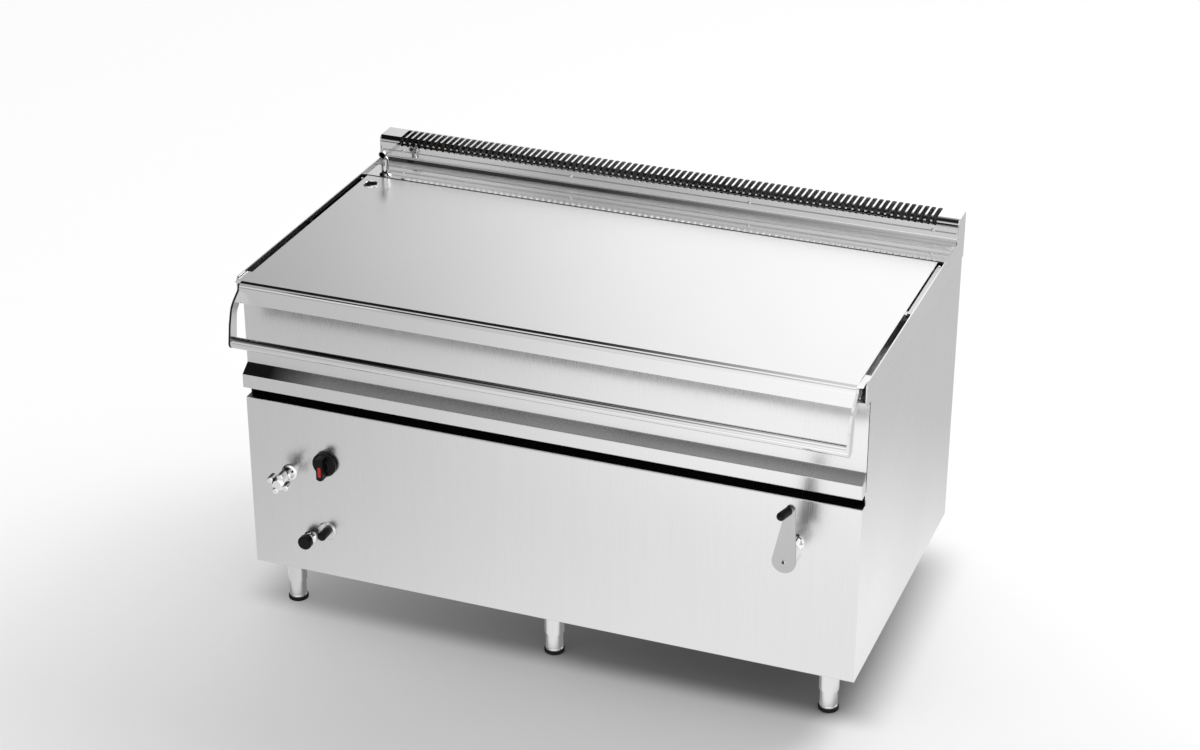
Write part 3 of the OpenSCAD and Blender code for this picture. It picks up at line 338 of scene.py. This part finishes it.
finishes = {
    "panel_steel": brushedSteel("steelUpright", zAxis),
    "rail_steel": brushedSteel("steelAcross", xAxis, roughness=0.24),
    "lid_steel": brushedSteel("steelUnder", xAxis, roughness=0.34),
    "tub_steel": brushedSteel("steelTub", yAxis, colour=0.62, roughness=0.36),
    "handle_steel": brushedSteel("steelHandle", zAxis, roughness=0.2),
    "leg_steel": brushedSteel("steelLeg", zAxis, roughness=0.22),
    "bright_steel": polished("steelBright", 0.82, 0.06),
    # chrome gets a painted dark reflection on its upper left side
    "chrome": polished("chrome", 0.78, 0.03, paintedDark=(-0.60, -0.10, 0.79)),
    "frame_paint": plainMetal("framePaint", grey(0.05), grey(0.07), 0.45, metallic=0.0),
    "gearbox_iron": plainMetal("gearboxPaint", (0.03, 0.045, 0.06), (0.05, 0.065, 0.08), 0.35,
                               metallic=0.0),
    "black_iron": plainMetal("blackIron", grey(0.035), grey(0.06, 0.05), 0.6, size=160, metallic=0.6),
    "burner_iron": plainMetal("burnerIron", (0.06, 0.05, 0.045), (0.12, 0.09, 0.075), 0.55, metallic=0.7),
    "gear_iron": plainMetal("gearIron", grey(0.22), grey(0.3, 0.02), 0.3),
    "brass": plainMetal("brass", (0.62, 0.42, 0.17), (0.75, 0.54, 0.24), 0.25, bump=0.05),
    "copper": plainMetal("copper", (0.62, 0.28, 0.16), (0.76, 0.38, 0.24), 0.22, bump=0.04),
    "black_plastic": moulded("blackPlastic", grey(0.0025), 0.32, gloss=0.14),
    "black_rubber": moulded("blackRubber", grey(0.006), 0.6, gloss=0.2),
}

# Nodes with a finish of their own, most of them for painted reflections and painted shade: the dark bands
# that the studio leaves in small bends, painted into the colour
ownFinish = {
    # painted shade down the groove of the ledge, darkest deep in it
    "front_panel": brushedSteel("steelFront", zAxis,
                                paintedLight=((0.10, ("ledge", "ledgeBack")), (0.012, ("ledgeDeep", "ledgeBack")))),
    # a painted dark reflection on the bevel, darkest at its left end
    "pan_front_panel": brushedSteel("steelNose", zAxis, bump=0.04,
                                    paintedLight=((0.27, ("bevel",)), (0.012, ("bevel", "bevelLeft")))),
    # a painted dark reflection along the bar's top, towards the left
    "handle_bar": brushedSteel("steelBar", xAxis, roughness=0.09, bump=0.01, swing=0.01,
                               paintedLight=((0.02, ("barTop", "barLeft")),)),
    # painted shade along the lid's back edge
    "lid": brushedSteel("steelLid", yAxis, roughness=0.25, swing=0.003, bump=0.004, wander=0.2,
                        bright=("lidFront", "lidTop"), paintedLight=((0.12, ("lidBack",)),)),
    # painted shade at the cove edge, a painted dark reflection on the step that is paler to the right, and a
    # painted highlight on the slope
    "riser_face": brushedSteel("steelRiser", xAxis, roughness=0.10, bump=0.01, swing=0.008,
                               polish=0.42, bright=("slope",),
                               paintedLight=((0.10, ("coveEdge",)), (0.05, ("step",)),
                                      (0.42, ("step", "stepRight")), (0.97, ("slope",)))),
    # painted dark reflection bands on the nosing
    "flue_grille": brushedSteel("steelGrille", xAxis, roughness=0.07, bump=0.01,
                                paintedLight=((0.012, ("nosing", "nosingBand")), (0.04, ("nosing", "nosingLine")))),
    "crank_arm": brushedSteel("steelCrank", zAxis, colour=0.40, roughness=0.3),
    "pilot_switch": brushedSteel("steelSwitch", zAxis),
    # a painted dark reflection on the left hinge strip
    "lid_arms": brushedSteel("steelHinge", yAxis, roughness=0.2, edge=0.05, paintedLight=((0.02, ("hingeLeft",)),)),
    # a painted dark reflection on the arm's narrow edges
    "handle_arm_left": brushedSteel("steelArm", zAxis, roughness=0.2, paintedLight=((0.03, ("armEdges",)),)),
}
for part in frame["record"]["subparts"]:
    if part["node"] in nodes:
        node = nodes[part["node"]]
        node.data.materials.clear()
        node.data.materials.append(ownFinish.get(part["node"], finishes[part["material_slot"]]))
print("finishes on", len(nodes), "nodes")


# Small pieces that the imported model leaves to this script

def addPiece(name, bm, body, slot, finish=None):
    bmesh.ops.recalc_face_normals(bm, faces=bm.faces)
    mesh = bpy.data.meshes.new(name)
    bm.to_mesh(mesh)
    bm.free()
    mesh.materials.append(finish or finishes[slot])
    piece = bpy.data.objects.new(name, mesh)
    bpy.context.scene.collection.objects.link(piece)
    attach(piece, body)


def extrude(bm, outline, lift, ease=0.0):
    # A closed solid from an outline of points, lifted by a vector, with its far rim eased
    outline = [Vector(p) for p in outline]
    middle = sum(outline, Vector()) / len(outline)
    rings = [(lift * (1 - ease / lift.length), 0.0), (lift, ease)] if ease else [(lift, 0.0)]
    below = [bm.verts.new(p) for p in outline]
    bm.faces.new(below)
    for rise, inward in rings:
        ring = [bm.verts.new(p + rise + (middle - p).normalized() * inward) for p in outline]
        for i in range(len(ring)):
            j = (i + 1) % len(ring)
            bm.faces.new((below[i], below[j], ring[j], ring[i]))
        below = ring
    bm.faces.new(below)


def slab(bm, x1, x2, y1, y2, z, height, ease=0.0):
    extrude(bm, [(x1, y1, z), (x2, y1, z), (x2, y2, z), (x1, y2, z)], Vector((0, 0, height)), ease)


def turn(bm, centre, axis, profile, sides):
    # A closed turned solid about an axis through centre, from (along, radius) pairs in a loop
    axis = Vector(axis)
    outwards = axis.orthogonal().normalized()
    sideways = axis.cross(outwards)
    rings = []
    for along, radius in profile:
        rings.append([bm.verts.new(centre + axis * along
                                   + (outwards * math.cos(a) + sideways * math.sin(a)) * radius)
                      for a in (2 * math.pi * i / sides for i in range(sides))])
    for near, far in zip(rings, rings[1:] + rings[:1]):
        for i in range(sides):
            j = (i + 1) % sides
            bm.faces.new((near[i], near[j], far[j], far[i]))
    for face in bm.faces:
        face.smooth = True


def middleOf(name):
    low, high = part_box(name)
    return (low + high) / 2


knobMark = {    # mm, with its ends above the lower edge of the knob
    "radius": 4.4, "low": 10, "high": 39, "sunk": 0.1, "proud": 0.5, "ease": 0.2, "points": 24,
    "colour": (0.42, 0.012, 0.012), "roughness": 0.35, "grain": 600, "gloss": 0.4,
}


def makeKnobMark():
    # A red bar down the front of the gas knob
    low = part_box("gas_knob")[0]
    x, y, r = middleOf("gas_knob").x, low.y + knobMark["sunk"] * mm, knobMark["radius"] * mm
    bottom, top = low.z + knobMark["low"] * mm + r, low.z + knobMark["high"] * mm - r
    angles = [2 * math.pi * (i + 0.5) / knobMark["points"] for i in range(knobMark["points"])]
    outline = [(x + r * math.cos(a), y, (top if a < math.pi else bottom) + r * math.sin(a)) for a in angles]
    bm = bmesh.new()
    extrude(bm, outline, Vector((0, -knobMark["proud"] * mm, 0)), knobMark["ease"] * mm)
    paint = moulded("redPaint", knobMark["colour"], knobMark["roughness"],
                    size=knobMark["grain"], gloss=knobMark["gloss"])
    addPiece("knob_mark", bm, "gas_knob", "black_plastic", paint)


seam = {    # mm, from the lower edge, the ends and the back of the riser's face
    "height": 52.5, "width": 1.1, "inset": 3, "fromBack": 4, "proud": 0.3, "ease": 0.1,
    "colour": 0.26, "roughness": 0.4,
}


def makeRiserSeam():
    # The folded joint across the upright face under the grille
    low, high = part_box("riser_face")
    z, y, h = low.z + seam["height"] * mm, high.y - seam["fromBack"] * mm, seam["width"] / 2 * mm
    x1, x2 = low.x + seam["inset"] * mm, high.x - seam["inset"] * mm
    bm = bmesh.new()
    extrude(bm, [(x1, y, z - h), (x2, y, z - h), (x2, y, z + h), (x1, y, z + h)],
            Vector((0, -seam["proud"] * mm, 0)), seam["ease"] * mm)
    addPiece("riser_seam", bm, "cabinet", "rail_steel",
             brushedSteel("steelSeam", xAxis, seam["colour"], seam["roughness"]))


seal = {    # mm, from the ends and the front and lower edges of the riser's face
    "inset": 10, "front": 4.2, "clear": 0.2, "over": 2.2,
    "flat": 22, "drop": 9, "lie": 0.1, "proud": 0.5, "ease": 1,
}


def makeBackSeal():
    # A rubber edging behind the lid, over the riser's front fold; its black also stands in as painted shade
    # in the gap behind the lid
    low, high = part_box("riser_face")
    x1, x2 = low.x + seal["inset"] * mm, high.x - seal["inset"] * mm
    y1, y2, y3 = low.y - seal["front"] * mm, low.y - seal["clear"] * mm, low.y + seal["over"] * mm
    flat, ease = low.z + seal["flat"] * mm, seal["ease"] * mm
    z1, z2, z3 = flat - seal["drop"] * mm, flat + seal["lie"] * mm, flat + seal["proud"] * mm
    bm = bmesh.new()
    extrude(bm, [(x1, y1, z1), (x1, y2, z1), (x1, y2, z2), (x1, y3, z2), (x1, y3, z3),
                 (x1, y1 + ease, z3), (x1, y1, z3 - ease)], Vector((x2 - x1, 0, 0)))
    addPiece("back_seal", bm, "cabinet", "black_rubber")


armShadeStrip = {    # mm; the block is measured from the strip's front end and the clip from its rear end
    "width": 1.4, "proud": 0.25, "lidGap": 2,
    "blockWidth": 9, "blockHeight": 3.5, "blockFront": -9.5, "blockBack": 5, "blockEase": 0.8,
    "clipWidth": 6, "clipHeight": 1.2, "clipFront": -11, "clipBack": -7, "clipEase": 0.4,
}


def makeArmShadeStrip():
    # A black strip along the outer side of each hinge strip, as a painted shade line, with a stop block
    # before it and a clip behind
    low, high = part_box("lid_arms")
    size = {name: value * mm for name, value in armShadeStrip.items()}
    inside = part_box("lid")[1].x + size["lidGap"]
    shadeStrips, blocks, clips = bmesh.new(), bmesh.new(), bmesh.new()
    for side in (-1, 1):
        edge, middle = side * high.x, side * (high.x + inside) / 2
        slab(shadeStrips, edge - side * size["width"], edge, low.y, high.y, high.z, size["proud"])
        half = size["blockWidth"] / 2
        slab(blocks, middle - half, middle + half, low.y + size["blockFront"], low.y + size["blockBack"],
             high.z - size["blockHeight"], size["blockHeight"], size["blockEase"])
        half = size["clipWidth"] / 2
        slab(clips, middle - half, middle + half, high.y + size["clipFront"], high.y + size["clipBack"],
             high.z, size["clipHeight"], size["clipEase"])
    # the black strip is painted shade along the hinge strip's edge
    addPiece("arm_shade_strip", shadeStrips, "lid", "black_rubber")
    addPiece("arm_blocks", blocks, "lid", "black_rubber")
    addPiece("arm_clips", clips, "lid", "bright_steel")


sleeve = {"bore": 13.6, "wall": 2.0, "depth": 12, "sink": 1.5, "ease": 0.6, "sides": 40}    # mm


def makeFillSleeve():
    # A rubber bush that lines the filling hole; its black also stands in as painted shade deep inside the
    # hole
    centre = middleOf("fill_ring")
    centre.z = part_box("fill_ring")[1].z - sleeve["sink"] * mm
    bore, deep, ease = sleeve["bore"] * mm, sleeve["depth"] * mm, sleeve["ease"] * mm
    out = bore + sleeve["wall"] * mm
    bm = bmesh.new()
    turn(bm, centre, (0, 0, -1), [(ease, bore), (0, bore + ease), (0, out), (deep, out), (deep, bore)],
         sleeve["sides"])
    addPiece("fill_sleeve", bm, "lid", "black_rubber")


thread = {    # mm, from the open end; top and foot are shares of the pitch
    "pitch": 2.3, "turns": 6, "start": 2, "proud": 0.9, "sunk": 0.4, "top": 0.4, "foot": 0.8,
    "endZone": 1, "sides": 32,
    "inlets": (("gas_thread", "gas_pipe", 13.2, "brass"), ("water_thread", "water_pipe", 10.5, "copper")),
}


def makeThreads():
    # Thread crests on both rear inlets, which are turned as rings
    pitch = thread["pitch"] * mm
    for name, node, radius, slot in thread["inlets"]:
        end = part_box(node)[1].y
        inlet = [v.co for v in nodes[node].data.vertices if v.co.y > end - thread["endZone"] * mm]
        centre = Vector(((min(v.x for v in inlet) + max(v.x for v in inlet)) / 2, end,
                         (min(v.z for v in inlet) + max(v.z for v in inlet)) / 2))
        root, crest = (radius - thread["sunk"]) * mm, (radius + thread["proud"]) * mm
        bm = bmesh.new()
        for i in range(thread["turns"]):
            at = thread["start"] * mm + i * pitch
            profile = [(at, root), (at + thread["top"] * pitch, crest), (at + thread["foot"] * pitch, root)]
            turn(bm, centre, (0, -1, 0), profile, thread["sides"])
        addPiece(name, bm, "cabinet", slot)


keyHoleShade = {"radius": 4.2, "corners": 6, "proud": 0.15, "ease": 0.05}    # mm


def makeKeyHoleShade():
    # A black hexagon on the head of the crank's screw, painted shade in place of its key hole
    centre = middleOf("crank_screw")
    centre.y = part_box("crank_screw")[0].y
    angles = [2 * math.pi * i / keyHoleShade["corners"] for i in range(keyHoleShade["corners"])]
    outline = [centre + Vector((math.cos(a), 0, math.sin(a))) * keyHoleShade["radius"] * mm for a in angles]
    bm = bmesh.new()
    extrude(bm, outline, Vector((0, -keyHoleShade["proud"] * mm, 0)), keyHoleShade["ease"] * mm)
    addPiece("key_hole_shade", bm, "crank", "black_iron")


gapPlate = {    # mm, from the lid's sides, front and top
    "inner": 0.6, "outer": 15, "front": 4, "back": 74, "drop": 2.5, "thick": 1.2, "corner": 4, "ease": 0.3,
}


def makeGapPlates():
    # Plates on the lid over the front ends of both side gaps
    low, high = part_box("lid")
    y1, y2 = low.y + gapPlate["front"] * mm, low.y + gapPlate["back"] * mm
    z = high.z - gapPlate["drop"] * mm
    for name, side, edge in (("gap_plate_left", -1, low.x), ("gap_plate_right", 1, high.x)):
        x1, x2 = edge + side * gapPlate["inner"] * mm, edge + side * gapPlate["outer"] * mm
        bm = bmesh.new()
        extrude(bm, [(x1, y1, z), (x2, y1 + gapPlate["corner"] * mm, z), (x2, y2, z), (x1, y2, z)],
                Vector((0, 0, gapPlate["thick"] * mm)), gapPlate["ease"] * mm)
        addPiece(name, bm, "lid", "lid_steel", ownFinish["lid"])


makeKnobMark()
makeRiserSeam()
makeBackSeal()
makeArmShadeStrip()
makeFillSleeve()
makeThreads()
makeKeyHoleShade()
makeGapPlates()
print("small pieces made")


# Floor

floor = {    # metres from the middle of the machine
    "half": 30.0, "roughness": 0.6, "gloss": 0.2,
    # below is the colour of a painted shadow under the machine
    "near": 0.86, "below": 0.30, "far": 1.0,          # its colour by the machine, below it and away from it
    "nearAt": (0.7, -1.5, 0), "nearTo": 1.1, "farFrom": 3.3,
    "white": 0.85,                                    # how far the distant floor turns plain white
    "edgesX": ((-0.90, -0.74), (0.90, 0.72)),         # outer and inner end of the shade below the machine
    "edgesY": ((-0.40, -0.30), (0.60, 0.40)),
}
floorMirror = {    # what the steel mirrors of it, as shares of white, with places in metres
    "left": 0.80, "leftAt": -1.6, "right": 1.25, "rightAt": 0.6,
    "bright": 0.30,                                   # more out in front, from the middle to the right
    "frontStart": -1.1, "frontEnd": -2.0, "brightStart": -1.3, "brightEnd": -0.2,
    "side": 0.34, "sideFrom": -1.55, "sideTo": -1.25,    # beside the machine on the left
    "aheadFrom": -0.95, "aheadTo": -1.15,             # where that ends towards the front
    "back": 0.62, "backFrom": 0.1, "backTo": 1.4,
    # below is a painted shadow under the machine in what the steel mirrors
    "below": 0.30,
}


def mirroredFloor(s, x, y, below):
    # Paler to the right and out in front, darker beside and behind the machine, with a painted shadow below
    # it
    m = floorMirror
    base = s.ease(x, m["leftAt"], m["rightAt"], m["left"], m["right"])
    outFront = s.rim(y, m["frontStart"], m["frontEnd"])
    bright = s.times(outFront, s.ease(x, m["brightStart"], m["brightEnd"], 0, m["bright"]))
    right = s.ease(x, m["sideFrom"], m["sideTo"])
    ahead = s.ease(y, m["aheadTo"], m["aheadFrom"], 1, 0)
    side = s.ease(s.maths("MAXIMUM", right, ahead), 0, 1, m["side"], 1)
    back = s.ease(y, m["backFrom"], m["backTo"], 1, m["back"])
    shade = s.ease(below, 0, 1, 1, m["below"])
    return s.times(base, s.add(1.0, bright), side, s.times(back, shade))


def floorPaint():
    # The camera sees paint that turns white with distance, and metal mirrors its own plain levels
    s = Shader("floorPaint", Roughness=floor["roughness"], Specular_IOR_Level=floor["gloss"])
    away = s.node("ShaderNodeVectorMath", operation="DISTANCE")
    away.inputs[1].default_value = floor["nearAt"]
    s.link(s.where("Object"), away.inputs[0])
    distant = s.ease(away.outputs["Value"], floor["nearTo"], floor["farFrom"])
    x, y = s.axes("Object")[:2]
    edges = [s.rim(x, *ends) for ends in floor["edgesX"]] + [s.rim(y, *ends) for ends in floor["edgesY"]]
    below = s.times(*edges)
    pale = s.tint(distant, grey(floor["near"]), grey(floor["far"]), 0, 1)
    # The base colour gets a painted shadow under the machine
    s.link(s.paint(below, pale, grey(floor["below"])), s.bsdf.inputs["Base Color"])
    white, glow = s.node("ShaderNodeEmission"), s.node("ShaderNodeEmission")
    s.link(mirroredFloor(s, x, y, below), glow.inputs["Strength"])
    ray = s.node("ShaderNodeLightPath")
    seen, whole = s.node("ShaderNodeMixShader"), s.node("ShaderNodeMixShader")
    s.link(s.times(distant, floor["white"], ray.outputs["Is Camera Ray"]), seen.inputs["Fac"])
    s.link(s.bsdf.outputs["BSDF"], seen.inputs[1])
    s.link(white.outputs["Emission"], seen.inputs[2])
    s.link(ray.outputs["Is Glossy Ray"], whole.inputs["Fac"])
    s.link(seen.outputs["Shader"], whole.inputs[1])
    s.link(glow.outputs["Emission"], whole.inputs[2])
    s.link(whole.outputs["Shader"], s.tree.nodes["Material Output"].inputs["Surface"])
    return s.mat


def makeFloor():
    half = floor["half"]
    corners = [(-half, -half, 0), (half, -half, 0), (half, half, 0), (-half, half, 0)]
    mesh = bpy.data.meshes.new("floor")
    mesh.from_pydata(corners, [], [(0, 1, 2, 3)])
    mesh.materials.append(floorPaint())
    ground = bpy.data.objects.new("floor", mesh)
    bpy.context.scene.collection.objects.link(ground)


# Studio light

lamps = {    # watts and metres
    "key": {"power": 160, "size": 3.2, "at": (2.6, 3.0, 4.2)},
    "fill": {"power": 20, "size": 4.0, "at": (-4.0, -3.5, 3.0)},
}
lampAim = (0, 0, 0.5)
sky = {
    "plain": 0.72,
    # What metal mirrors, by direction from left (-1) to right (1)
    "dark": 0.50, "darkTo": -0.48, "bright": 1.50, "brightFrom": -0.20,
    "farLeft": 0.30, "farLeftTo": -0.85, "farLeftEnd": -0.62,
    # Bands by degrees from the front horizon (0) over the top (90) to the back (180)
    "bands": ((0, 1.0), (30, 0.9), (43, 0.04), (55, 0.04), (62, 1.1), (80, 1.1),
              (90, 0.03), (145, 0.02), (149.5, 1.45), (180, 1.3)),
    # Where the bands thin out, again from left to right
    "fade": 0.7, "fadeIn": (-0.33, -0.22), "fadeOut": (-0.12, -0.02),
}


def makeLamp(name, power, size, at):
    data = bpy.data.lights.new(name, "AREA")
    data.energy, data.size, data.shape = power, size, "DISK"
    lamp = bpy.data.objects.new(name, data)
    bpy.context.scene.collection.objects.link(lamp)
    lamp.location = at
    lamp.rotation_euler = (Vector(lampAim) - Vector(at)).to_track_quat("-Z", "Y").to_euler()


def studioBands(g, x, y, z):
    angle = g.maths("ARCTAN2", z, g.times(y, -1))
    bands = g.node("ShaderNodeValToRGB")
    stops = bands.color_ramp.elements
    stops.remove(stops[1])
    for i, (degrees, level) in enumerate(sky["bands"]):
        stop = stops[0] if i == 0 else stops.new(degrees / 180)
        stop.position, stop.color = degrees / 180, (*grey(level), 1)
    g.link(g.ramp(angle, 0, 1, 0, math.pi), bands.inputs["Fac"])
    thin = g.times(g.ease(x, *sky["fadeIn"], 0, sky["fade"]), g.ease(x, *sky["fadeOut"], 1, 0))
    return g.mix(thin, bands.outputs["Color"], 1.0)


def makeSky():
    # Metal mirrors the bands, all else is lit by an even sky, and the camera sees white
    world = bpy.data.worlds.new("sky")
    bpy.context.scene.world = world
    world.use_nodes = True
    g = Graph(world.node_tree)
    back = g.tree.nodes["Background"]
    back.inputs["Color"].default_value = (1, 1, 1, 1)
    x, y, z = g.axes("Generated")
    side = g.ease(x, sky["darkTo"], sky["brightFrom"], sky["dark"], sky["bright"])
    left = g.ease(x, sky["farLeftTo"], sky["farLeftEnd"], sky["farLeft"], 1)
    mirrored = g.times(side, left, studioBands(g, x, y, z))
    ray = g.node("ShaderNodeLightPath")
    lit = g.mix(ray.outputs["Is Glossy Ray"], sky["plain"], mirrored)
    g.link(g.mix(ray.outputs["Is Camera Ray"], lit, 1.0), back.inputs["Strength"])


makeFloor()
for name, lamp in lamps.items():
    makeLamp(name, **lamp)
makeSky()
bpy.context.scene.view_settings.view_transform = "Standard"
print("floor and light ready")
